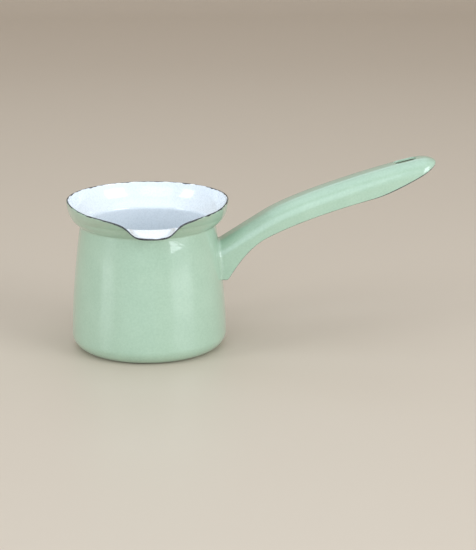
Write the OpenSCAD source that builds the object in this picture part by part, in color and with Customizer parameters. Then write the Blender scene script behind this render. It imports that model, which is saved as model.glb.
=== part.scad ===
// Enamelled steel pouring pot with a drawn body, a pressed channel handle and a bent pouring lip.
// The origin is the centre of the base, on the table. +Z is up, the handle points along +X and
// the lip faces -Y. Every coat of enamel and every steel pressing is its own solid.

/* [Pot body] */
// Height of the rim above the table
rim_z = 84; // [82:0.5:88]
// Outside radius at the rim
rim_r = 45; // [44:0.5:47]
// Largest outside radius of the body
belly_r = 43.5; // [42.5:0.5:44.5]
// Height of the neck crease
neck_z = 70.2; // [69:0.2:72]
// Outside radius at the neck crease
neck_r = 37.8; // [37:0.2:39]
// Outside radius of the corner between base and wall
corner_r = 8; // [6:0.5:10]
// How late the wall leans in towards the neck, 1 being a straight cone
wall_power = 1.6; // [1:0.1:2]
// How far the collar bows outwards at mid height
collar_bow = 3.3; // [2.5:0.1:4]

/* [Sheet and coats] */
// Thickness of the steel of the body
body_steel_t = 0.6; // [0.5:0.05:0.8]
// Thickness of the steel of the handle
handle_steel_t = 0.8; // [0.6:0.05:1.2]
// Thickness of each coat of enamel
enamel_t = 0.25; // [0.2:0.05:0.3]
// Height of the dark ground coat left bare along every cut edge
edge_coat_t = 0.3; // [0.2:0.05:0.4]

/* [Pouring lip] */
// Bend of the narrow spout, in degrees
spout_bend = 38.6; // [20:0.2:45]
// Half width of the narrow spout, in degrees around the pot
spout_span = 13.9; // [10:0.1:20]
// Bend of the wide sweep of the rim on both sides of the spout, in degrees
sweep_bend = 58.6; // [30:0.2:62]
// Half width of the wide sweep, in degrees around the pot
sweep_span = 40.5; // [30:0.5:45]
// Stretch of the bent rim for each 100 degrees of bend
lip_stretch = 0.2; // [0:0.05:0.25]

/* [Handle] */
// Distance from the pot's axis to the tip of the handle
handle_end = 162; // [162:1:170]
// Width of the handle
handle_w = 22; // [20:0.5:24]
// Radius of the long shoulders of the channel
shoulder_r = 8; // [6:0.2:9]
// Rise of the handle's back between its shoulders
crown_h = 0.7; // [0:0.1:1]
// Height of the lower end of the foot
foot_z = 39; // [35:0.5:40]
// Leg length of the weld round the foot, small enough to stay under the enamel's own fillet
weld_leg = 0.85; // [0.6:0.05:0.85]
// Leg length of the enamel that fills the corner over the weld
enamel_leg = 2.6; // [2.2:0.1:3]

/* [Hanging hole] */
// Distance from the pot's axis to the middle of the hole
hole_x = 144.6; // [142:0.2:147]
// Length of the bare hole through the steel
hole_l = 13.1; // [10:0.1:14]
// Width of the bare hole through the steel
hole_w = 7.5; // [6:0.1:9]

/* [Hidden] */

green = [0.70, 0.83, 0.74];
white = [0.93, 0.95, 0.98];
ground = [0.20, 0.21, 0.22];
steel = [0.62, 0.63, 0.65];

// Depths below the outside of the pot at which one layer ends and the next begins
body_steel_out = enamel_t;
body_steel_in = enamel_t + body_steel_t;
body_wall_t = 2 * enamel_t + body_steel_t;
handle_steel_in = enamel_t + handle_steel_t;
handle_wall_t = 2 * enamel_t + handle_steel_t;

corner_steps = 8;
wall_steps = 8;
collar_steps = 10;
lip_angle = -90;
// The collar's solids start this far below the neck crease, just inside the layer that they grow from
root_depth = 0.4;
root_inset = 0.03;
// Share of the collar's length at which the lip starts to bend, and over which it bends
bend_start = 0.48;
bend_length = 0.16;
// Columns of the collar: close together near the lip, wider apart round the rest
fine_step = 3;
fine_half = 30;
wide_step = 6;
lip_offsets = concat([for (a = [-fine_half:fine_step:fine_half]) a],
                     [for (a = [fine_half + wide_step:wide_step:360 - fine_half - wide_step]) a]);
collar_columns = len(lip_offsets);

// The handle's back and its lower edge, seen from the side as [distance from the axis, height].
// Every second point is a knot, and the point between two knots pulls the curve towards itself.
back_line = [[36, 57.4], [51, 66.6], [64, 74.6], [75.4, 81.7], [100, 89.8], [140.7, 103.2],
             [handle_end + 1, 106.1]];
lower_line = [[36, 24], [50, 55], [66, 62.7], [87.9, 73.6], [126, 83.5], [138.3, 86.7],
              [handle_end + 1, 102]];
handle_start = 36;
side_steps = 20;
tip_steps = 12;
// Stations gather towards the foot, where the lower edge curves most
station_power = 1.4;
shoulder_steps = 4;
spine_half = 2;
// Height of the flat flange that is left under the shoulder at the very tip
least_flange = 0.4;
path_steps = 2 * side_steps + tip_steps;
tip_centre = handle_end - handle_w / 2;
flange_steps = 5;
foot_slope = 0.62;
fillet_steps = 4;
fillet_root = 0.3;
fillet_lip = 0.03;
// The coats of the pot and the handle stop this far from each other, at the toes of the weld
weld_clear = 0.65;
hole_coat_t = enamel_t;

// ---------- Small functions ----------

function smooth(low, high, x) =
    let (u = min(1, max(0, (x - low) / (high - low))))
    u * u * (3 - 2 * u);

function reverse(list) = [for (i = [len(list) - 1:-1:0]) list[i]];

function flat(list) = [for (part = list) each part];

function unit(v) = v / norm(v);

// Height at x of the curve from point a to point c that b pulls towards itself
function pulled_height(a, b, c, x) =
    let (p = a[0] - 2 * b[0] + c[0],
         q = 2 * (b[0] - a[0]),
         t = abs(p) < 0.001 ? (x - a[0]) / q : (sqrt(q * q - 4 * p * (a[0] - x)) - q) / (2 * p))
    (1 - t) * (1 - t) * a[1] + 2 * (1 - t) * t * b[1] + t * t * c[1];

// Height at x of a chain of such curves
function line_height(line, x) =
    x <= line[2][0] ? pulled_height(line[0], line[1], line[2], x)
    : x <= line[4][0] ? pulled_height(line[2], line[3], line[4], x)
    : pulled_height(line[4], line[5], line[6], x);

// ---------- Pot body ----------

function wall_r(z) =
    let (t = min(1, max(0, (z - corner_r) / (neck_z - corner_r))))
    belly_r - (belly_r - neck_r) * pow(t, wall_power);

// Section of the body from the middle of the base up to the neck, at a depth below its outside
function body_line(depth) = concat(
    [[0, depth]],
    [for (i = [0:corner_steps])
        let (a = -90 + 90 * i / corner_steps)
        [belly_r - corner_r + (corner_r - depth) * cos(a), corner_r + (corner_r - depth) * sin(a)]],
    [for (i = [1:wall_steps])
        let (z = corner_r + (neck_z - corner_r) * i / wall_steps)
        [wall_r(z) - depth, z]]);

module body_layer(outer, inner) {
    rotate_extrude($fn = 96)
        polygon(concat(body_line(outer), reverse(body_line(inner))));
}

// Everything inside the body at a depth below its outside, up to the neck
module body_core(depth) {
    rotate_extrude($fn = 96)
        polygon(concat(body_line(depth), [[0, neck_z]]));
}

// ---------- Collar and pouring lip ----------

function collar_point(t) =
    let (a = [neck_r, neck_z],
         b = [rim_r - 0.4, neck_z + collar_bow],
         c = [rim_r, rim_z - edge_coat_t])
    (1 - t) * (1 - t) * a + 2 * (1 - t) * t * b + t * t * c;

function collar_step(i) = collar_point((i + 1) / collar_steps) - collar_point(i / collar_steps);

function bend_share(i) = smooth(bend_start, bend_start + bend_length, (i + 0.5) / collar_steps);

// How far the rim is bent outwards at an angle from the middle of the lip
function lip_bend(offset) =
    let (a = min(offset < 0 ? -offset : offset, abs(360 - offset)))
    sweep_bend * (1 - smooth(45, 85, a)) / (1 + pow(a / sweep_span, 2))
    + spout_bend / (1 + pow(a / spout_span, 6));

function step_angle(i, bend) =
    let (s = collar_step(i))
    atan2(s[1], s[0]) - bend * bend_share(i);

function collar_line(bend, i = 0, p = [neck_r, neck_z]) =
    i == collar_steps ? [p]
    : let (a = step_angle(i, bend),
           l = norm(collar_step(i)) * (1 + lip_stretch * bend / 100 * bend_share(i)))
      concat([p], collar_line(bend, i + 1, p + l * [cos(a), sin(a)]));

// Direction of the collar's section at one of its points
function line_angle(i, bend) =
    i == collar_steps ? step_angle(i - 1, bend)
    : (step_angle(i - 1, bend) + step_angle(i, bend)) / 2;

// Section of the collar at a depth below its outside, from its root to the rim.
// The root is held just inside the layer of the body, by inset.
function collar_side(offset, depth, inset) =
    let (bend = lip_bend(offset),
         line = collar_line(bend))
    concat([[neck_r - depth - inset, neck_z - root_depth], [neck_r - depth - inset, neck_z]],
           [for (i = [1:collar_steps])
               let (a = line_angle(i, bend))
               line[i] + depth * [-sin(a), cos(a)]]);

function turned(offset, p) =
    [p[0] * cos(lip_angle + offset), p[0] * sin(lip_angle + offset), p[1]];

// Faces of a ring whose section is a closed loop of points, repeated round the axis
function ring_faces(columns, loop) =
    [for (k = [0:columns - 1], m = [0:loop - 1])
        let (k2 = (k + 1) % columns, m2 = (m + 1) % loop)
        [k * loop + m, k * loop + m2, k2 * loop + m2, k2 * loop + m]];

module collar_layer(outer, inner) {
    // A chord of the widest step cuts this much into the neck, so the inner root stands back by it
    chord = neck_r * (1 - cos(wide_step / 2));
    points = flat([for (o = lip_offsets)
        [for (p = concat(collar_side(o, outer, root_inset),
                         reverse(collar_side(o, inner, -root_inset - chord))))
            turned(o, p)]]);
    polyhedron(points, ring_faces(collar_columns, 2 * (collar_steps + 2)));
}

module pot_layer(outer, inner) {
    union() {
        body_layer(outer, inner);
        collar_layer(outer, inner);
    }
}

// ---------- Handle ----------

// Plan of one long line of the handle, at a distance from its middle: out along one side,
// round the tip and back along the other
function plan_line(half) = concat(
    [for (i = [0:side_steps])
        [handle_start + (tip_centre - handle_start) * pow(i / side_steps, station_power), -half]],
    [for (i = [1:tip_steps])
        let (a = -90 + 180 * i / tip_steps)
        [tip_centre + half * cos(a), half * sin(a)]],
    [for (i = [side_steps - 1:-1:0])
        [handle_start + (tip_centre - handle_start) * pow(i / side_steps, station_power), half]]);

function lower_edge_z(x) = max(foot_z, line_height(lower_line, x));

// Height of the rounded shoulder: its own radius, or less at the tip, where the flange runs out
function shoulder_h(x) =
    min(shoulder_r, line_height(back_line, x) - lower_edge_z(x) - crown_h - least_flange);

// Height of the back at a distance from the middle, at a depth below the outside
function back_z(x, half, depth) =
    let (side = handle_w / 2 - depth,
         r = shoulder_r - depth,
         over = max(0, half - (side - r)) / r)
    line_height(back_line, x) - depth - crown_h * pow(half / side, 2)
    - (shoulder_h(x) - depth) * (1 - sqrt(max(0, 1 - over * over)));

// Distances from the middle of the long lines that make up the back, from the side inwards
function back_halves(depth) =
    let (side = handle_w / 2 - depth,
         r = shoulder_r - depth)
    concat([for (i = [0:shoulder_steps]) side - r * (1 - cos(90 * i / shoulder_steps))],
           [spine_half]);

// Rows of points of the pressing at a depth below its outside, starting at its lower edge
function channel_rows(depth) = concat(
    [[for (p = plan_line(handle_w / 2 - depth)) [p[0], p[1], lower_edge_z(p[0])]]],
    [for (half = back_halves(depth))
        [for (p = plan_line(half)) [p[0], p[1], back_z(p[0], half, depth)]]]);

rows = shoulder_steps + 3;
row_len = path_steps + 1;

function channel_skin(base, flip) = [
    for (i = [0:rows - 2], j = [0:path_steps - 1])
        let (a = base + i * row_len + j, b = a + row_len)
        flip ? [a, a + 1, b + 1, b] : [a, b, b + 1, a + 1]];

function spine_skin(base, flip) =
    let (top = base + (rows - 1) * row_len)
    concat([for (j = [0:path_steps / 2 - 2])
                let (f = [top + j, top + path_steps - j, top + path_steps - j - 1, top + j + 1])
                flip ? reverse(f) : f],
           [let (j = path_steps / 2 - 1, f = [top + j, top + path_steps - j, top + j + 1])
                flip ? reverse(f) : f]);

// A pressing or a coat of the channel handle, open underneath, before its foot is cut to the pot
module channel(outer, inner) {
    inside = rows * row_len;
    last = path_steps;
    top = (rows - 1) * row_len;
    polyhedron(
        flat(concat(channel_rows(outer), channel_rows(inner))),
        concat(
            channel_skin(0, false),
            spine_skin(0, false),
            channel_skin(inside, true),
            spine_skin(inside, true),
            [for (j = [0:path_steps - 1]) [j, j + 1, inside + j + 1, inside + j]],
            [for (i = [0:rows - 2])
                let (a = i * row_len, b = a + row_len)
                [b, a, inside + a, inside + b]],
            [for (i = [0:rows - 2])
                let (a = i * row_len + last, b = a + row_len)
                [a, b, inside + b, inside + a]],
            [[top + last, top, inside + top, inside + top + last]]));
}

// The strip of ground coat that hangs below the cut edge of the channel
module edge_strip() {
    outside = plan_line(handle_w / 2);
    inside = plan_line(handle_w / 2 - handle_wall_t);
    points = flat([for (j = [0:path_steps])
        let (o = outside[j],
             i = inside[j],
             oz = lower_edge_z(o[0]),
             iz = lower_edge_z(i[0]))
        [[o[0], o[1], oz - edge_coat_t], [o[0], o[1], oz],
         [i[0], i[1], iz], [i[0], i[1], iz - edge_coat_t]]]);
    polyhedron(points, tube_faces(path_steps, 4));
}

// Faces of an open-ended sweep of a closed loop of points
function tube_faces(steps, loop) = concat(
    [for (k = [0:steps - 1], m = [0:loop - 1])
        let (m2 = (m + 1) % loop)
        [k * loop + m, k * loop + m2, (k + 1) * loop + m2, (k + 1) * loop + m]],
    [[for (m = [loop - 1:-1:0]) m]],
    [[for (m = [0:loop - 1]) steps * loop + m]]);

// Place on the pot's wall, at a depth below its outside, that is beside a point of the handle
function on_wall(p, depth) =
    let (r = wall_r(p[2]) - depth)
    [sqrt(r * r - p[1] * p[1]), p[1], p[2]];

// Where a long line of the handle's back meets the pot, at a distance from the handle's middle
function back_foot(half, sign, depth) =
    let (near = on_wall([0, half, back_z(handle_start + 3, half, depth)], depth),
         meet = on_wall([0, half, back_z(near[0], half, depth)], depth))
    [meet[0], sign * half, meet[2]];

// Route of the fillet round the foot, as [place, direction away from the handle]:
// up one flange, over the shoulder and along the back to its middle
function fillet_side(sign, depth) =
    let (side = handle_w / 2 - depth,
         halves = back_halves(depth),
         top = back_foot(side, sign, depth)[2])
    concat([for (i = [0:flange_steps - 1])
               [on_wall([0, sign * side, foot_z + (top - foot_z) * i / flange_steps], depth),
                [0, sign, 0]]],
           [for (i = [0:len(halves) - 1])
               let (a = 90 * min(1, i / shoulder_steps))
               [back_foot(halves[i], sign, depth), [0, sign * cos(a), sin(a)]]]);

// A concave fillet of one leg length between the handle and the wall, at a depth below the
// outside of both. Its back reaches a little into the handle and the wall, which are cut away.
module foot_fillet(leg, depth) {
    route = concat(fillet_side(-1, depth), reverse(fillet_side(1, depth)));
    last = len(route) - 1;
    section = concat(
        [[-fillet_root, -fillet_root], [-fillet_root, leg + fillet_lip]],
        [for (i = [0:fillet_steps])
            let (a = 90 * i / fillet_steps)
            [leg * (1 - cos(a)) + fillet_lip, leg * (1 - sin(a)) + fillet_lip]],
        [[leg + fillet_lip, -fillet_root]]);
    points = flat([for (stop = route)
        let (along = unit([1, 0, foot_slope * stop[1][2]]))
        [for (s = section) on_wall(stop[0] + s[0] * stop[1], depth) + s[1] * along]]);
    polyhedron(points, tube_faces(last, len(section)));
}

// ---------- Hanging hole ----------

module hole_plug(shrink) {
    slope = line_height(back_line, hole_x + 0.5) - line_height(back_line, hole_x - 0.5);
    r = hole_w / 2 - shrink;
    reach = hole_l / 2 - hole_w / 2;
    translate([hole_x, 0, line_height(back_line, hole_x)])
        rotate([0, -atan(slope), 0])
            linear_extrude(height = 6, center = true)
                union() {
                    translate([-reach, 0]) circle(r = r, $fn = 32);
                    translate([reach, 0]) circle(r = r, $fn = 32);
                    translate([-reach, -r]) square([2 * reach, 2 * r]);
                }
}

// ---------- The pieces ----------

module body_steel() {
    color(steel) pot_layer(body_steel_out, body_steel_in);
}

module outside_enamel() {
    color(green) difference() {
        pot_layer(0, body_steel_out);
        channel(-weld_clear, handle_steel_in);
    }
}

module inside_enamel() {
    color(white) pot_layer(body_steel_in, body_wall_t);
}

module rim_ground_coat() {
    soft = edge_coat_t * 0.55;
    color(ground) polyhedron(
        flat([for (o = lip_offsets)
            let (bend = lip_bend(o),
                 a = line_angle(collar_steps, bend),
                 along = [cos(a), sin(a)],
                 in = [-sin(a), cos(a)],
                 edge = collar_line(bend)[collar_steps])
            [for (p = [edge,
                       edge + soft * along,
                       edge + edge_coat_t * along + enamel_t * in,
                       edge + edge_coat_t * along + body_steel_in * in,
                       edge + soft * along + body_wall_t * in,
                       edge + body_wall_t * in])
                turned(o, p)]]),
        ring_faces(collar_columns, 6));
}

module handle_steel() {
    color(steel) difference() {
        channel(enamel_t, handle_steel_in);
        body_core(body_steel_out);
        hole_plug(0);
    }
}

module handle_weld() {
    color(steel) difference() {
        foot_fillet(weld_leg, enamel_t);
        body_core(body_steel_out);
        channel(enamel_t, handle_steel_in);
    }
}

module handle_top_enamel() {
    color(green) difference() {
        channel(0, enamel_t);
        body_core(-weld_clear);
        hole_plug(0);
    }
}

module weld_enamel() {
    color(green) difference() {
        foot_fillet(enamel_leg, 0);
        body_core(0);
        channel(0, handle_steel_in);
    }
}

module handle_underside_enamel() {
    color(green) difference() {
        channel(handle_steel_in, handle_wall_t);
        body_core(0);
        hole_plug(0);
    }
}

module handle_edge_ground_coat() {
    color(ground) difference() {
        edge_strip();
        body_core(0);
    }
}

module hole_ground_coat() {
    color(ground) intersection() {
        channel(0, handle_wall_t);
        difference() {
            hole_plug(0);
            hole_plug(hole_coat_t);
        }
    }
}

body_steel();
outside_enamel();
inside_enamel();
rim_ground_coat();
handle_steel();
handle_weld();
handle_top_enamel();
weld_enamel();
handle_underside_enamel();
handle_edge_ground_coat();
hole_ground_coat();
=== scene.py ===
"""An enamelled pouring pot on a plain pale floor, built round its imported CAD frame.

Every length in the shape functions is in millimetres, as in the CAD source, and becomes metres only
when a mesh is made. The pot stands on the origin, its handle points along +X and its lip faces -Y.
Each coat of enamel is a closed shell of its real thickness over the CAD's steel pressings.
"""

import math

import bmesh
import bpy
import numpy as np
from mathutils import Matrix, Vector


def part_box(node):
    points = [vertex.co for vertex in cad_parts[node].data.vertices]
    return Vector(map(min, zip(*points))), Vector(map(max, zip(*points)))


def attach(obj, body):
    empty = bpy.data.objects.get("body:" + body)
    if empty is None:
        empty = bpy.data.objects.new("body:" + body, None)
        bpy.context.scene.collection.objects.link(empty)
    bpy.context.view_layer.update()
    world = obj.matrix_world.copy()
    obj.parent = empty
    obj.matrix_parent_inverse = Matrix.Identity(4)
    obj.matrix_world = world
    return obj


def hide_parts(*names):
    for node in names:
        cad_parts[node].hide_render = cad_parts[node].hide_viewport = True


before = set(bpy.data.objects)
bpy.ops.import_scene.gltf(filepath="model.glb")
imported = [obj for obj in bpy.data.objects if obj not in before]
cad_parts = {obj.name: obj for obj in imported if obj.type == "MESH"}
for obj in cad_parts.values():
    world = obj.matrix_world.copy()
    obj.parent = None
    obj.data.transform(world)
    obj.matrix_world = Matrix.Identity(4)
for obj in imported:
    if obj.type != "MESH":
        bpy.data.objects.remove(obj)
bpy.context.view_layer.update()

MM = 0.001
# Points closer than this, in metres, become one
WELD_GAP = 2e-7

# ---------- Driving sizes, in millimetres and degrees ----------

RIM_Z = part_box("rim_ground_coat")[1].z / MM
RIM_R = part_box("rim_ground_coat")[1].y / MM
HANDLE_W = (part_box("handle_top_enamel")[1].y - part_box("handle_top_enamel")[0].y) / MM
BELLY_R = 43.5
NECK_R = 37.8
NECK_Z = 70.2
CORNER_R = 8.0
# 1 makes the wall a straight cone, and more keeps it upright for longer
WALL_POWER = 1.6
COLLAR_BOW = 3.3
# How far inside the rim the collar's curve is pulled
COLLAR_PULL = 0.4
COAT = 0.25
EDGE_COAT = 0.3
POT_WALL = 1.1
HANDLE_WALL = 1.3

# The lip is the sum of two bends of the collar: a narrow spout and a broad sweep
SPOUT_BEND, SPOUT_SPAN = 38.6, 13.9
SWEEP_BEND, SWEEP_SPAN = 58.6, 40.5
SWEEP_FADES, SWEEP_GONE = 45, 85
LIP_STRETCH = 0.2
# Where along the collar the bend is, as shares of its length
BEND_START, BEND_LENGTH = 0.48, 0.16
LIP_ANGLE = -90.0

SHOULDER_R = 8.0
CROWN_H = 0.7
FOOT_Z = 39.0
HANDLE_START = 36.0
LEAST_FLANGE = 0.4
# The handle's back and lower edge from the side, as (x, z). Every second point pulls the curve
BACK_LINE = [(36, 57.4), (51, 66.6), (64, 74.6), (75.4, 81.7),
             (100, 89.8), (140.7, 103.2), (163, 106.1)]
LOWER_LINE = [(36, 24), (50, 55), (66, 62.7), (87.9, 73.6), (126, 83.5), (138.3, 86.7), (163, 102)]
TIP_CENTRE = 151.0
FOOT_FILLET = 2.8
# The fillet's share of its size at the lower end of the foot, and the row where it is full
FOOT_SHARE, FULL_ROW = 0.35, 5
# The handle's coats go this far into the pot's coat, so that no gap shows
WALL_SINK = 0.08

HOLE_X, HOLE_L, HOLE_W = 144.6, 13.1, 7.5

COLUMNS = 480
# Rows over a rounded edge for a coat and for the dark line
CAP_STEPS, LINE_STEPS = 7, 8
# Rows each side of the crease under the collar that are rounded, and how many times
CREASE_REACH, CREASE_ROUNDS = 9, 8


# ---------- Small tools ----------

def smooth(low, high, x):
    u = np.clip((np.asarray(x, float) - low) / (high - low), 0, 1)
    return u * u * (3 - 2 * u)


def wobble(turns, seed, parts=9):
    """A repeatable uneven line from -1 to 1 that joins up after a full turn. turns runs from 0 to 1."""
    draw = np.random.default_rng(seed)
    total = np.zeros_like(turns)
    for k in range(1, parts + 1):
        order = draw.integers(2 * k, 7 * k)
        total += np.sin(2 * math.pi * (order * turns + draw.random())) * draw.uniform(0.4, 1.0)
    return total / (0.55 * parts)


def pulled_height(a, b, c, x):
    """Height at x of the curve from a to c that b pulls towards itself."""
    p = a[0] - 2 * b[0] + c[0]
    q = 2 * (b[0] - a[0])
    if abs(p) < 0.001:
        t = (a[0] - x) / -q
    else:
        t = (np.sqrt(np.maximum(q * q - 4 * p * (a[0] - x), 0)) - q) / (2 * p)
    return (1 - t) ** 2 * a[1] + 2 * (1 - t) * t * b[1] + t * t * c[1]


def line_height(line, x):
    x = np.asarray(x, float)
    first, middle, last = (pulled_height(*line[k:k + 3], x) for k in (0, 2, 4))
    return np.where(x <= line[2][0], first, np.where(x <= line[4][0], middle, last))


def new_object(name, vertices, faces, material, smooth_angle=50):
    """Makes a closed mesh from vertices in millimetres, welds its doubled points and smooths it."""
    mesh = bpy.data.meshes.new(name)
    mesh.from_pydata([tuple(v) for v in np.asarray(vertices) * MM], [], faces)
    obj = bpy.data.objects.new(name, mesh)
    bpy.context.scene.collection.objects.link(obj)
    shape = bmesh.new()
    shape.from_mesh(mesh)
    bmesh.ops.remove_doubles(shape, verts=shape.verts, dist=WELD_GAP)
    bmesh.ops.dissolve_degenerate(shape, edges=shape.edges, dist=WELD_GAP)
    bmesh.ops.recalc_face_normals(shape, faces=shape.faces)
    shape.to_mesh(mesh)
    shape.free()
    mesh.shade_smooth()
    mesh.set_sharp_from_angle(angle=math.radians(smooth_angle))
    mesh.materials.append(material)
    return obj


def apply_modifiers(obj):
    graph = bpy.context.evaluated_depsgraph_get()
    mesh = bpy.data.meshes.new_from_object(obj.evaluated_get(graph))
    obj.modifiers.clear()
    old = obj.data
    obj.data = mesh
    bpy.data.meshes.remove(old)


def ring_mesh(grid, closed_section):
    """Faces of a grid of points [column, row] that joins up after the last column."""
    columns, rows = grid.shape[:2]
    steps = rows if closed_section else rows - 1
    return [
        (c * rows + r, c * rows + (r + 1) % rows,
         (c + 1) % columns * rows + (r + 1) % rows, (c + 1) % columns * rows + r)
        for c in range(columns) for r in range(steps)]


def ring_object(name, columns, closed_section, material, smooth_angle=50):
    """An object from sections that stand round an axis or an outline."""
    grid = np.array(columns)
    faces = ring_mesh(grid, closed_section)
    return new_object(name, grid.reshape(-1, 3), faces, material, smooth_angle)


def shell_mesh(front, back, halves_meet):
    """Points and faces of a coat between two grids of points [row, station].

    The coat is closed all round, except along its last row where its two halves meet."""
    rows, stations = front.shape[:2]
    count = rows * stations

    def grid_faces(base):
        return [
            (base + r * stations + s, base + (r + 1) * stations + s,
             base + (r + 1) * stations + s + 1, base + r * stations + s + 1)
            for r in range(rows - 1) for s in range(stations - 1)]

    lines = [range(stations), range(0, count, stations), range(stations - 1, count, stations)]
    if not halves_meet:
        lines.append(range(count - stations, count))
    sides = [(a, b, count + b, count + a) for line in lines for a, b in zip(line, line[1:])]
    points = np.concatenate([front.reshape(-1, 3), back.reshape(-1, 3)])
    return points, grid_faces(0) + grid_faces(count) + sides


# ---------- The pot's section ----------

def wall_r(z):
    """Radius of the outside of the body at a height."""
    t = np.clip((np.asarray(z, float) - CORNER_R) / (NECK_Z - CORNER_R), 0, 1)
    return BELLY_R - (BELLY_R - NECK_R) * t ** WALL_POWER


def lip_bend(offset):
    """How far the collar is bent out, in degrees, at an angle from the middle of the lip."""
    a = np.abs((np.asarray(offset, float) + 180) % 360 - 180)
    return (SWEEP_BEND * (1 - smooth(SWEEP_FADES, SWEEP_GONE, a)) / (1 + (a / SWEEP_SPAN) ** 2)
            + SPOUT_BEND / (1 + (a / SPOUT_SPAN) ** 6))


def body_section():
    """Outside of the body from the middle of the base to the neck, as (r, z)."""
    flat = np.linspace(0, BELLY_R - CORNER_R, 16)[:-1]
    a = np.radians(np.linspace(-90, 0, 22)[:-1])
    corner = np.stack([BELLY_R - CORNER_R + CORNER_R * np.cos(a), CORNER_R + CORNER_R * np.sin(a)], 1)
    fine = NECK_Z - 4
    z = np.concatenate([np.linspace(CORNER_R, fine, 34)[:-1], np.linspace(fine, NECK_Z, 12)[:-1]])
    wall = np.stack([wall_r(z), z], 1)
    return np.concatenate([np.stack([flat, 0 * flat], 1), corner, wall])


def collar_section(bend, steps=64):
    """Outside of the collar from the neck to where the rim starts to round, as (r, z), for one bend."""
    t = np.linspace(0, 1, steps + 1)[:, None]
    start = np.array([NECK_R, NECK_Z])
    pull = np.array([RIM_R - COLLAR_PULL, NECK_Z + COLLAR_BOW])
    end = np.array([RIM_R, RIM_Z - POT_WALL / 2])
    plain = (1 - t) ** 2 * start + 2 * (1 - t) * t * pull + t * t * end
    step = np.diff(plain, axis=0)
    share = smooth(BEND_START, BEND_START + BEND_LENGTH, (np.arange(steps) + 0.5) / steps)
    angle = np.arctan2(step[:, 1], step[:, 0]) - np.radians(bend) * share
    length = np.hypot(step[:, 0], step[:, 1]) * (1 + LIP_STRETCH * bend / 100 * share)
    walk = np.stack([length * np.cos(angle), length * np.sin(angle)], 1)
    return np.vstack([start, start + np.cumsum(walk, 0)])


def soften(section, middle, reach, rounds):
    """Rounds the crease round one row of a section by averaging its neighbours."""
    low, high = middle - reach, middle + reach
    out = section.copy()
    for _ in range(rounds):
        out[low:high] = (out[low - 1:high - 1] + 2 * out[low:high] + out[low + 1:high + 1]) / 4
    return out


def inward(section):
    """Directions along a section and into the metal at each of its points."""
    along = np.gradient(section, axis=0)
    along /= np.hypot(along[:, 0], along[:, 1])[:, None]
    return along, np.stack([-along[:, 1], along[:, 0]], 1)


OFFSETS = np.arange(COLUMNS) * 360.0 / COLUMNS
TURNS = OFFSETS / 360.0
BENDS = lip_bend(OFFSETS)


def pot_sections():
    """For every column: the section, its directions and its directions into the metal."""
    body = body_section()
    made = []
    for bend in BENDS:
        section = np.concatenate([body, collar_section(bend)])
        section = soften(section, len(body), CREASE_REACH, CREASE_ROUNDS)
        along, into = inward(section)
        into[0] = (0, 1)
        made.append((section, along, into))
    return made


def turned(points, offset):
    """Turns section points (r, z) to a column's place round the axis."""
    a = math.radians(LIP_ANGLE + offset)
    return np.stack([points[:, 0] * math.cos(a), points[:, 0] * math.sin(a), points[:, 1]], 1)


def rim_cap(section, along, into, first, last, steps):
    """The half-round top of the rim between two angles: 0 is the outside and 180 the inside."""
    a = np.radians(np.linspace(first, last, steps))[:, None]
    r = POT_WALL / 2
    return section[-1] + r * (1 - np.cos(a)) * into[-1] + r * np.sin(a) * along[-1]


SECTIONS = pot_sections()
# Where the green coat ends and where the white coat ends, in degrees over the rounded rim.
# Both stand back at the lip, where the line is widest.
AT_LIP = 1 - smooth(14, 40, np.minimum(OFFSETS, 360 - OFFSETS))
GREEN_WAVES = 44 * wobble(TURNS, 11) + 40 * wobble(TURNS * 2, 12)
WHITE_WAVES = 40 * wobble(TURNS, 23) + 40 * wobble(TURNS * 2, 24)
GREEN_ENDS = np.clip(50 - 42 * AT_LIP + GREEN_WAVES * (1 - AT_LIP / 2), 2, 100)
WHITE_ENDS = np.clip(132 + 26 * AT_LIP + WHITE_WAVES, 103, 176)


def build_outside(material):
    columns = []
    for k, (section, along, into) in enumerate(SECTIONS):
        cap = rim_cap(section, along, into, 0, GREEN_ENDS[k], CAP_STEPS)[1:]
        back = (section + COAT * into)[::-2]
        back = np.vstack([back[:-1], [[0.0, section[0][1] + COAT]]])
        columns.append(turned(np.concatenate([section, cap, back]), OFFSETS[k]))
    return ring_object("outside_coat", columns, False, material)


def build_inside(material):
    columns = []
    for k, (section, along, into) in enumerate(SECTIONS):
        skin = section + POT_WALL * into
        skin[:, 0] = np.maximum(skin[:, 0], 0)
        cap = rim_cap(section, along, into, 180, WHITE_ENDS[k], CAP_STEPS)[1:]
        back = (section + (POT_WALL - COAT) * into)[::-2]
        back = np.vstack([back[:-1], [[0.0, section[0][1] + POT_WALL - COAT]]])
        columns.append(turned(np.concatenate([skin, cap, back]), OFFSETS[k]))
    return ring_object("inside_coat", columns, False, material)


def build_steel_core(material):
    """The steel pressing between the two coats, in the place of the CAD's faceted one."""
    columns = []
    for k, (section, _, into) in enumerate(SECTIONS):
        front = section + COAT * into
        back = (section + (POT_WALL - COAT) * into)[::-1]
        front[0, 0] = 0
        back[-1, 0] = 0
        columns.append(turned(np.concatenate([front, back]), OFFSETS[k]))
    return ring_object("pot_pressing", columns, False, material)


def build_rim_line(material):
    columns = []
    for k, (section, along, into) in enumerate(SECTIONS):
        cap = rim_cap(section, along, into, GREEN_ENDS[k], WHITE_ENDS[k], LINE_STEPS)
        root = section[-1] + np.array([[POT_WALL - COAT], [COAT]]) * into[-1]
        columns.append(turned(np.concatenate([cap, root]), OFFSETS[k]))
    return ring_object("rim_line", columns, True, material, 70)


# ---------- The handle ----------

SIDE_STEPS, TIP_STEPS, FILLET_STEPS = 120, 56, 10
FLANGE_STEPS, SHOULDER_STEPS, BACK_STEPS = 9, 12, 7
# More than 1 puts the stations along a side closer together near the pot
SIDE_SPACING = 1.2
NO_FILLET = 0.001
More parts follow.
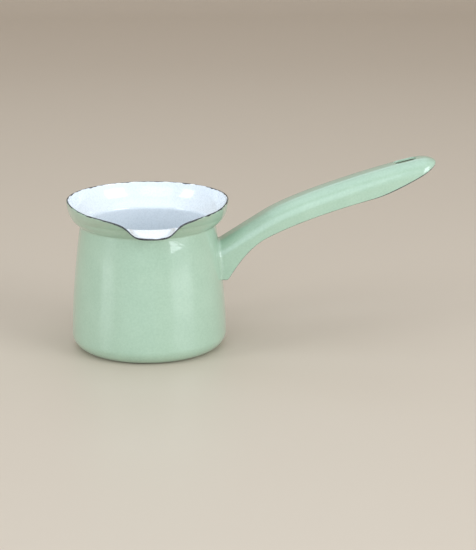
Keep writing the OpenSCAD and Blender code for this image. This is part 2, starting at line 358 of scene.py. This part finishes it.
# The half-round edge starts this far above the line that the pressing is cut to
EDGE_RISE = HANDLE_WALL / 2 - EDGE_COAT


def lower_edge_z(x):
    return np.maximum(FOOT_Z, line_height(LOWER_LINE, x))


def back_z(x, half, depth):
    """Height of the handle's back at a distance from its middle and a depth below its outside."""
    side = HANDLE_W / 2 - depth
    r = SHOULDER_R - depth
    over = np.maximum(0, half - (side - r)) / r
    depth_here = line_height(BACK_LINE, x) - lower_edge_z(x) - CROWN_H - LEAST_FLANGE
    shoulder = np.minimum(SHOULDER_R, depth_here) - depth
    return (line_height(BACK_LINE, x) - depth - CROWN_H * (half / side) ** 2
            - shoulder * (1 - np.sqrt(np.maximum(0, 1 - over * over))))


def on_wall(p):
    """Moves points along X to the outside of the pot."""
    r = wall_r(p[..., 2])
    out = p.copy()
    out[..., 0] = np.sqrt(np.maximum(r * r - p[..., 1] ** 2, 0))
    return out


def handle_row(half, height, away, fillet):
    """One long line of the handle, up one side, round the tip and back down the other side.

    height(x) is its height, away is its direction away from the handle as (sideways, up), and
    fillet is how far before the pot it starts to turn onto the wall."""
    probe = np.array([0.0, half, 0.0])
    for _ in range(4):
        probe[2] = height(probe[0] if probe[0] else HANDLE_START + 3)
        probe = on_wall(probe)
    slope = float(height(probe[0] + 0.5) - height(probe[0] - 0.5))
    out = np.array([1.0, 0.0, slope]) / math.hypot(1.0, slope)
    away3 = np.array([-slope * away[1], away[0], away[1]])
    away3 /= np.linalg.norm(away3)
    start = probe[0] + fillet * out[0]
    side = start + (TIP_CENTRE - start) * np.linspace(0, 1, SIDE_STEPS + 1) ** SIDE_SPACING
    turn = np.linspace(1, 0, FILLET_STEPS + 1)[:-1, None]
    reach = np.array([start, half, height(start)])
    wall = on_wall(probe + fillet * away3) - np.array([WALL_SINK, 0, 0])
    arc = (1 - turn) ** 2 * reach + 2 * (1 - turn) * turn * probe + turn ** 2 * wall
    far = np.concatenate([arc, np.stack([side, np.full_like(side, half), height(side)], 1)])
    near = far * np.array([1, -1, 1])
    a = np.radians(np.linspace(-90, 90, TIP_STEPS + 1))[1:-1]
    tip_x = TIP_CENTRE + half * np.cos(a)
    tip = np.stack([tip_x, half * np.sin(a), height(tip_x)], 1)
    return np.concatenate([near, tip, far[::-1]])


def flange_rows(depth, steps):
    """Lines from the lower edge up to the foot of the shoulder, at a depth below the outside."""
    side = HANDLE_W / 2 - depth
    rows = []
    for k in range(steps):
        share = k / steps

        def height(x, share=share):
            low = lower_edge_z(x) + EDGE_RISE
            return low + (np.maximum(back_z(x, side, depth), low + 0.02) - low) * share
        rows.append((side, height, (1.0, 0.0)))
    return rows


def back_rows(depth, shoulder_steps, back_steps):
    """Lines over the shoulder and the back, up to the middle of the handle."""
    side = HANDLE_W / 2 - depth
    r = SHOULDER_R - depth
    rows = []
    for k in range(shoulder_steps + 1):
        a = math.pi / 2 * k / shoulder_steps
        half = side - r * (1 - math.cos(a))
        rows.append((half, lambda x, half=half: back_z(x, half, depth), (math.cos(a), math.sin(a))))
    for k in range(1, back_steps + 1):
        half = (side - r) * (1 - k / back_steps)
        rows.append((half, lambda x, half=half: back_z(x, half, depth), (0.0, 1.0)))
    return rows


def edge_cap(edge, inner, angles):
    """Rows over the half-round lower edge. edge and inner are the ends of the two faces of the
    flange; an angle of 0 is the outside and 180 the inside, one angle for each station."""
    along = np.gradient(edge, axis=0)
    along /= np.linalg.norm(along, axis=1)[:, None]
    down = along[:, 2:] * along - np.array([0.0, 0.0, 1.0])
    down /= np.linalg.norm(down, axis=1)[:, None]
    a = np.radians(angles)[:, None]
    return (edge + inner) / 2 + np.cos(a) * (edge - inner) / 2 + np.sin(a) * HANDLE_WALL / 2 * down


def handle_grid(depth, fillet):
    """The handle's surface at a depth below its outside, as rows from its lower edge to its middle.

    The fillet onto the pot grows from about a third of its size at the lower end of the foot."""
    lines = flange_rows(depth, FLANGE_STEPS) + back_rows(depth, SHOULDER_STEPS, BACK_STEPS)
    grown = [FOOT_SHARE + (1 - FOOT_SHARE) * min(1, k / FULL_ROW) for k in range(len(lines))]
    return np.array([handle_row(half, height, away, fillet * share)
                     for share, (half, height, away) in zip(grown, lines)])


OUTSIDE = handle_grid(0, FOOT_FILLET)
OUTSIDE_BACK = handle_grid(COAT, FOOT_FILLET - COAT)
UNDERSIDE = handle_grid(HANDLE_WALL, NO_FILLET)
UNDERSIDE_BACK = handle_grid(HANDLE_WALL - COAT, NO_FILLET)
EDGE_TURNS = np.linspace(0, 1, OUTSIDE.shape[1])
# Where the two green coats end, in degrees over the rounded lower edge. The line between them
# is narrow along the sides and widens round the tip.
AT_TIP = smooth(112, 140, OUTSIDE[0][:, 0])
TOP_ENDS = np.clip(38 - 36 * AT_TIP + 12 * wobble(EDGE_TURNS, 37), 2, 80)
UNDER_ENDS = np.clip(115 + 40 * AT_TIP + 12 * wobble(EDGE_TURNS, 41), 95, 176)


def edge_rows(first, last, steps):
    """Rows over the lower edge from one angle to another. Each angle may vary along the handle."""
    share = np.linspace(0, 1, steps)[:, None]
    return [edge_cap(OUTSIDE[0], UNDERSIDE[0], row) for row in first * (1 - share) + last * share]


def build_handle_coat(name, surface, back, ends, face_angle, material):
    """A coat with the strip of it that turns over the lower edge."""
    over = edge_rows(ends, np.full_like(ends, face_angle), 5)[:-1]
    front = np.concatenate([over, surface])
    behind = np.concatenate([[back[0]] * len(over), back])
    return new_object(name, *shell_mesh(front, behind, True), material)


def build_edge_line(material):
    over = np.array(edge_rows(TOP_ENDS, UNDER_ENDS, LINE_STEPS))
    share = np.linspace(0, 1, LINE_STEPS)[:, None, None]
    root = OUTSIDE_BACK[0] * (1 - share) + UNDERSIDE_BACK[0] * share
    return new_object("handle_edge_line", *shell_mesh(over, root, False), material, 70)


# ---------- Materials ----------

def noise(tree, scale, detail, roughness=0.5, distortion=0.0):
    """Noise in the object's own space, with scale in cells per metre."""
    place = tree.nodes.get("place") or tree.nodes.new("ShaderNodeTexCoord")
    place.name = "place"
    made = tree.nodes.new("ShaderNodeTexNoise")
    made.inputs["Scale"].default_value = scale
    made.inputs["Detail"].default_value = detail
    made.inputs["Roughness"].default_value = roughness
    made.inputs["Distortion"].default_value = distortion
    tree.links.new(place.outputs["Object"], made.inputs["Vector"])
    return made.outputs["Fac"]


def mixed_colour(tree, factor, dark, light, low, high):
    """A colour that runs from dark to light as factor runs from low to high."""
    ramp = tree.nodes.new("ShaderNodeValToRGB")
    ramp.color_ramp.elements[0].position = low
    ramp.color_ramp.elements[0].color = (*dark, 1)
    ramp.color_ramp.elements[1].position = high
    ramp.color_ramp.elements[1].color = (*light, 1)
    tree.links.new(factor, ramp.inputs["Fac"])
    return ramp.outputs["Color"]


def ranged(tree, factor, low, high):
    """A value that runs from low to high as factor runs from 0.3 to 0.7."""
    made = tree.nodes.new("ShaderNodeMapRange")
    made.inputs["From Min"].default_value = 0.3
    made.inputs["From Max"].default_value = 0.7
    made.inputs["To Min"].default_value = low
    made.inputs["To Max"].default_value = high
    tree.links.new(factor, made.inputs["Value"])
    return made.outputs["Result"]


def bump(tree, height, strength, distance, normal=None):
    made = tree.nodes.new("ShaderNodeBump")
    made.inputs["Strength"].default_value = strength
    made.inputs["Distance"].default_value = distance
    tree.links.new(height, made.inputs["Height"])
    if normal is not None:
        tree.links.new(normal, made.inputs["Normal"])
    return made.outputs["Normal"]


def enamel(name, dark, light, rough_low, rough_high, peel):
    """Fired enamel: a faintly speckled and clouded colour under a glossy skin with orange peel."""
    material = bpy.data.materials.new(name)
    material.use_nodes = True
    tree = material.node_tree
    shader = tree.nodes["Principled BSDF"]
    clouds = noise(tree, 60, 3, 0.6, 0.3)
    specks = noise(tree, 900, 2, 0.6)
    both = tree.nodes.new("ShaderNodeMix")
    both.inputs["Factor"].default_value = 0.62
    tree.links.new(clouds, both.inputs["A"])
    tree.links.new(specks, both.inputs["B"])
    tree.links.new(mixed_colour(tree, both.outputs["Result"], dark, light, 0.36, 0.62),
                   shader.inputs["Base Color"])
    tree.links.new(ranged(tree, specks, rough_low, rough_high), shader.inputs["Roughness"])
    shader.inputs["Coat Weight"].default_value = 1.0
    shader.inputs["Coat Roughness"].default_value = 0.035
    shader.inputs["Coat IOR"].default_value = 1.5
    waves = bump(tree, noise(tree, 70, 2, 0.4), peel, 0.002)
    skin = bump(tree, noise(tree, 460, 2, 0.5), peel * 0.6, 0.0004, waves)
    tree.links.new(skin, shader.inputs["Normal"])
    tree.links.new(skin, shader.inputs["Coat Normal"])
    return material


def ground_coat(name):
    """The dark blue-grey ground coat along the cut edges, duller and rougher than the enamel."""
    material = bpy.data.materials.new(name)
    material.use_nodes = True
    tree = material.node_tree
    shader = tree.nodes["Principled BSDF"]
    blotches = noise(tree, 420, 5, 0.65)
    colour = mixed_colour(tree, blotches, (0.012, 0.014, 0.018), (0.085, 0.095, 0.105), 0.4, 0.72)
    tree.links.new(colour, shader.inputs["Base Color"])
    tree.links.new(ranged(tree, blotches, 0.25, 0.5), shader.inputs["Roughness"])
    tree.links.new(bump(tree, blotches, 0.5, 0.0003), shader.inputs["Normal"])
    return material


def bare_steel(name):
    """Pickled sheet steel with the fine lines of its rolling."""
    material = bpy.data.materials.new(name)
    material.use_nodes = True
    tree = material.node_tree
    shader = tree.nodes["Principled BSDF"]
    lines = noise(tree, 700, 6, 0.7, 0.8)
    colour = mixed_colour(tree, lines, (0.30, 0.31, 0.33), (0.50, 0.51, 0.53), 0.35, 0.7)
    tree.links.new(colour, shader.inputs["Base Color"])
    tree.links.new(ranged(tree, lines, 0.3, 0.5), shader.inputs["Roughness"])
    shader.inputs["Metallic"].default_value = 1.0
    tree.links.new(bump(tree, lines, 0.3, 0.0002), shader.inputs["Normal"])
    return material


def plain(name, colour, roughness):
    material = bpy.data.materials.new(name)
    material.use_nodes = True
    shader = material.node_tree.nodes["Principled BSDF"]
    shader.inputs["Base Color"].default_value = (*colour, 1)
    shader.inputs["Roughness"].default_value = roughness
    return material


GREEN = enamel("green_enamel", (0.345, 0.495, 0.370), (0.395, 0.545, 0.415), 0.30, 0.38, 0.10)
WHITE = enamel("white_enamel", (0.825, 0.875, 0.920), (0.850, 0.895, 0.935), 0.24, 0.32, 0.08)
GROUND = ground_coat("ground_coat")
STEEL = bare_steel("pickled_steel")


# ---------- The pieces ----------

HOLE_SLOPE = float(line_height(BACK_LINE, HOLE_X + 0.5) - line_height(BACK_LINE, HOLE_X - 0.5))


def hole_outline(inset, steps=20):
    """The hole's outline in plan, shrunk by an inset, as (x, y)."""
    r = HOLE_W / 2 - inset
    reach = (HOLE_L - HOLE_W) / 2
    a = np.radians(np.linspace(-90, 90, steps + 1))
    ahead = np.stack([HOLE_X + reach + r * np.cos(a), r * np.sin(a)], 1)
    behind = np.stack([HOLE_X - reach - r * np.cos(a), -r * np.sin(a)], 1)
    return np.concatenate([ahead, behind])


def hole_ring(name, section, material):
    """Sweeps a section round the hole. Its points are (distance into the hole, height over the back)."""
    rings = []
    for inset, over in section:
        plan = hole_outline(inset)
        z = back_z(plan[:, 0], np.abs(plan[:, 1]), 0) + over
        rings.append(np.stack([plan[:, 0] - HOLE_SLOPE * over, plan[:, 1], z], 1))
    return ring_object(name, np.array(rings).transpose(1, 0, 2), True, material, 60)


def cut_hole(obj):
    """Cuts the hanging hole through a coat, square to the handle's back."""
    plan = hole_outline(0)
    middle = float(line_height(BACK_LINE, HOLE_X))
    count = len(plan)
    levels = [np.stack([plan[:, 0] - HOLE_SLOPE * over, plan[:, 1], np.full(count, middle + over)], 1)
              for over in (-5, 5)]
    faces = [(k, (k + 1) % count, count + (k + 1) % count, count + k) for k in range(count)]
    faces += [tuple(range(count))[::-1], tuple(range(count, 2 * count))]
    cutter = new_object("cutter", np.concatenate(levels), faces, STEEL)
    cut = obj.modifiers.new("hole", "BOOLEAN")
    cut.operation = "DIFFERENCE"
    cut.solver = "EXACT"
    cut.object = cutter
    apply_modifiers(obj)
    bpy.data.objects.remove(cutter)


def stand_in(obj, slot, *cad_nodes):
    """Puts a finished piece in the place of CAD nodes."""
    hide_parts(*cad_nodes)
    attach(obj, "root")


def build_pot():
    stand_in(build_outside(GREEN), "green_enamel", "outside_enamel")
    stand_in(build_inside(WHITE), "white_enamel", "inside_enamel")
    stand_in(build_steel_core(STEEL), "steel", "body_steel")
    stand_in(build_rim_line(GROUND), "ground_coat", "rim_ground_coat")


# Sections of the hole's rounded green lip and of the dark line under it, for hole_ring
HOLE_LIP = [(-1.1, -0.03), (-0.75, 0.05), (-0.35, 0.10), (0.02, 0.02), (0.25, -0.20),
            (0.30, -0.45), (0.30, -1.0), (-0.15, -1.0), (-0.15, -0.3), (-0.9, -0.24)]
HOLE_LINING = [(0.27, -0.95), (0.33, -1.08), (0.28, -1.25), (0.08, -1.38), (-0.35, -1.34),
               (-0.15, -0.95)]


def build_handle():
    top = build_handle_coat("handle_top_coat", OUTSIDE, OUTSIDE_BACK, TOP_ENDS, 0, GREEN)
    under = build_handle_coat("handle_underside_coat", UNDERSIDE, UNDERSIDE_BACK, UNDER_ENDS, 180, GREEN)
    cut_hole(top)
    cut_hole(under)
    stand_in(top, "green_enamel", "handle_top_enamel", "weld_enamel")
    stand_in(under, "green_enamel", "handle_underside_enamel")
    stand_in(build_edge_line(GROUND), "ground_coat", "handle_edge_ground_coat")
    lip = hole_ring("hole_edge_coat", HOLE_LIP, GREEN)
    lining = hole_ring("hole_line", HOLE_LINING, GROUND)
    stand_in(lip, "green_enamel")
    stand_in(lining, "ground_coat", "hole_ground_coat")


def finish_steel():
    """Gives the CAD's hidden handle pressing and weld bead the steel's material."""
    for name in ("handle_steel", "handle_weld"):
        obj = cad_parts[name]
        obj.data.materials.clear()
        obj.data.materials.append(STEEL)


# ---------- Camera, floor and light ----------

CAMERA_AT = Vector((-0.0395, -0.8769, 0.2836))
CAMERA_HEADING = 5.86
CAMERA_TILT = -15.54
CAMERA_LENS = 105.8


def build_camera():
    camera = bpy.data.objects.new("camera", bpy.data.cameras.new("camera"))
    bpy.context.scene.collection.objects.link(camera)
    camera.location = CAMERA_AT
    heading, tilt = math.radians(CAMERA_HEADING), math.radians(CAMERA_TILT)
    level = math.cos(tilt)
    look = Vector((math.sin(heading) * level, math.cos(heading) * level, math.sin(tilt)))
    camera.rotation_mode = "QUATERNION"
    camera.rotation_quaternion = look.to_track_quat("-Z", "Y")
    camera.data.lens = CAMERA_LENS
    bpy.context.scene.camera = camera


def build_stage():
    """A pale sheet that runs level under the pot and curves up behind it."""
    width, front, bend_y, bend_r, top = 8.0, -3.0, 1.6, 0.8, 3.0
    a = np.radians(np.linspace(0, 90, 25))
    line = [(front, 0.0)]
    line += [(bend_y + bend_r * math.sin(t), bend_r * (1 - math.cos(t))) for t in a]
    line += [(bend_y + bend_r, top)]
    vertices = [(x, y, z) for x in (-width / 2, width / 2) for y, z in line]
    count = len(line)
    faces = [(k, count + k, count + k + 1, k + 1) for k in range(count - 1)]
    mesh = bpy.data.meshes.new("floor")
    mesh.from_pydata(vertices, [], faces)
    mesh.shade_smooth()
    mesh.materials.append(plain("floor_paper", (0.63, 0.54, 0.445), 0.4))
    floor = bpy.data.objects.new("floor", mesh)
    bpy.context.scene.collection.objects.link(floor)


def softbox(name, heading, low, high, distance, width, radiance, colour):
    """An upright soft light that faces the pot, from one height to another.

    heading is in degrees to the right of the camera, seen from above."""
    light = bpy.data.lights.new(name, "AREA")
    light.shape = "RECTANGLE"
    light.size, light.size_y = width, high - low
    light.energy = radiance * math.pi * width * (high - low)
    light.color = colour
    obj = bpy.data.objects.new(name, light)
    bpy.context.scene.collection.objects.link(obj)
    a = math.radians(heading - CAMERA_HEADING)
    obj.location = (distance * math.sin(a), -distance * math.cos(a), (low + high) / 2)
    obj.rotation_mode = "QUATERNION"
    obj.rotation_quaternion = Vector((-math.sin(a), math.cos(a), 0)).to_track_quat("-Z", "Y")
    return obj


def build_light():
    softbox("window_right", 55, 0.08, 1.0, 1.3, 0.75, 5.4, (0.86, 0.93, 1.0))
    softbox("window_left", -62, 0.08, 0.95, 1.3, 0.45, 5.0, (0.86, 0.93, 1.0))
    softbox("window_front", -12, 0.14, 1.4, 1.35, 1.3, 1.5, (0.72, 0.87, 1.0))
    softbox("window_back", 180, 0.9, 1.7, 1.1, 1.2, 1.2, (0.72, 0.87, 1.0))
    top = softbox("top", 0, 1.0, 2.6, 0.05, 1.8, 0.8, (0.68, 0.85, 1.0))
    top.rotation_quaternion = Vector((0, 0, -1)).to_track_quat("-Z", "Y")
    world = bpy.data.worlds.new("studio")
    world.use_nodes = True
    world.node_tree.nodes["Background"].inputs["Color"].default_value = (1.0, 0.98, 0.95, 1)
    world.node_tree.nodes["Background"].inputs["Strength"].default_value = 0.58
    bpy.context.scene.world = world
    bpy.context.scene.view_settings.view_transform = "Standard"


build_camera()
build_stage()
build_light()
build_pot()
build_handle()
finish_steel()
